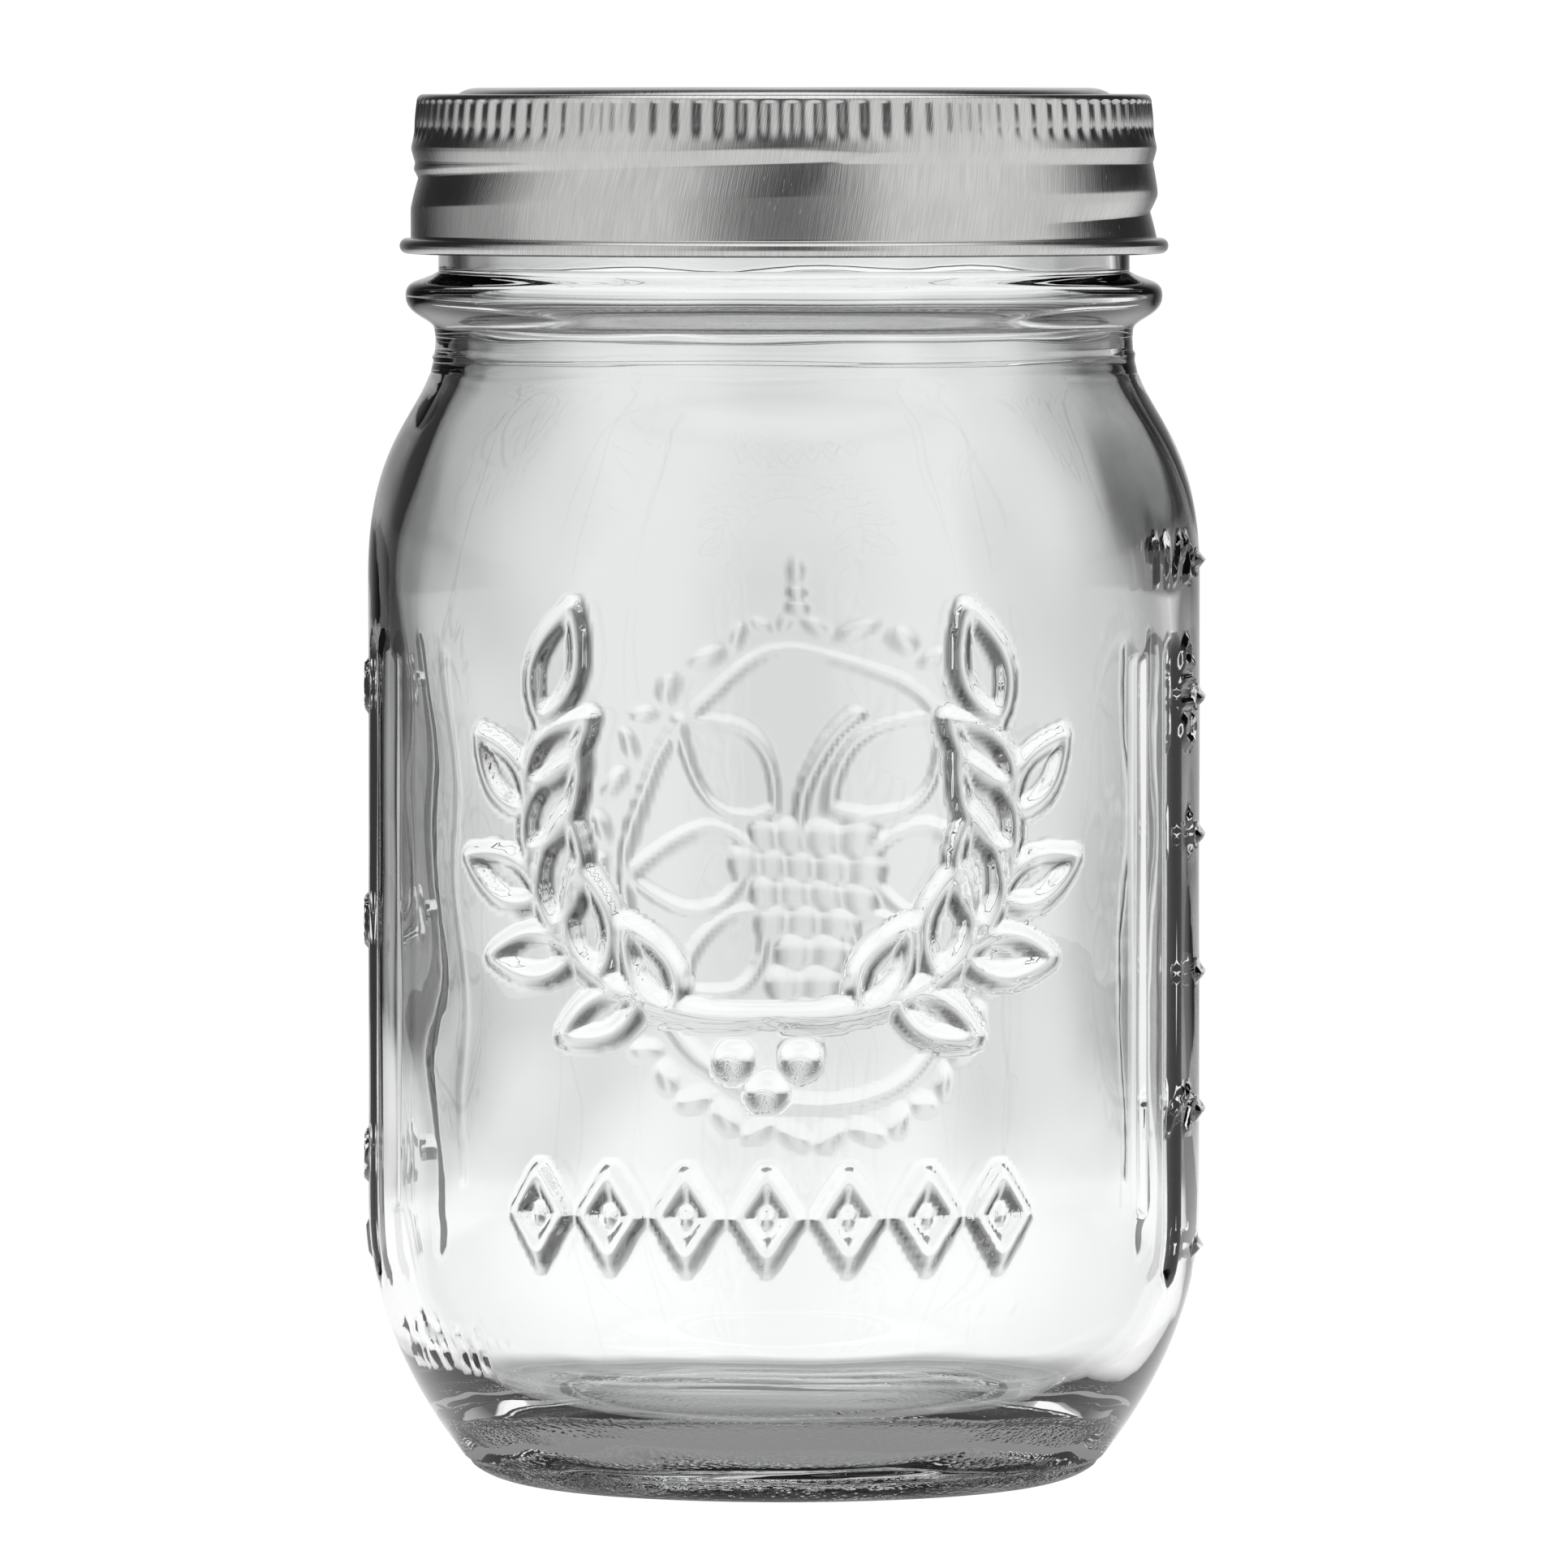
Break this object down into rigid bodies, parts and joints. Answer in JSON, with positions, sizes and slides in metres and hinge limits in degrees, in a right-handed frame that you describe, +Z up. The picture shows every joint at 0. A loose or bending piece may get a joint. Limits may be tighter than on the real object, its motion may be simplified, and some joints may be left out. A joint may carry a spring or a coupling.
{
  "type": "mason jar",
  "caption": "Clear glass canning jar with rounded shoulder, graduated sides and a two-piece closure: flat lid disc with sealing ring under a knurled screw band.",
  "frame": {"origin": "middle of the jar's base, on the plane of the bearing ring it stands on", "axes": "+Z up along the jar's axis, -Y towards the decorated front, +X towards the cup graduations"},
  "size_m": [0.0808, 0.0798, 0.1337],
  "materials": {
    "glass": "clear pressed soda-lime glass, polished, with soft mould ripples",
    "lid_tinplate": "tin-plated steel sheet, bright, lightly scratched",
    "sealing_compound": "matt sealing compound",
    "band_tinplate": "tin-plated steel sheet, satin, with fine upright scratches"
  },
  "bodies": {
    "jar": {"jar_glass": "glass"},
    "lid": {"lid_disc": "lid_tinplate", "sealing_ring": "sealing_compound"},
    "band": {"screw_band": "band_tinplate"}
  },
  "joints": [
    {"name": "closure_rise", "type": "slide", "parent": "jar", "child": "lid", "axis": [0, 0, 1], "range_m": [0, 0.00795]},
    {"name": "band_turn", "type": "hinge", "parent": "lid", "child": "band", "pos_m": [0, 0, 0.1308], "axis": [0, 0, 1], "range_deg": [0, 450]}
  ],
  "couplings": [
    {"joint": "closure_rise", "follows": "band_turn", "m_per_rad": 0.0010106}
  ]
}
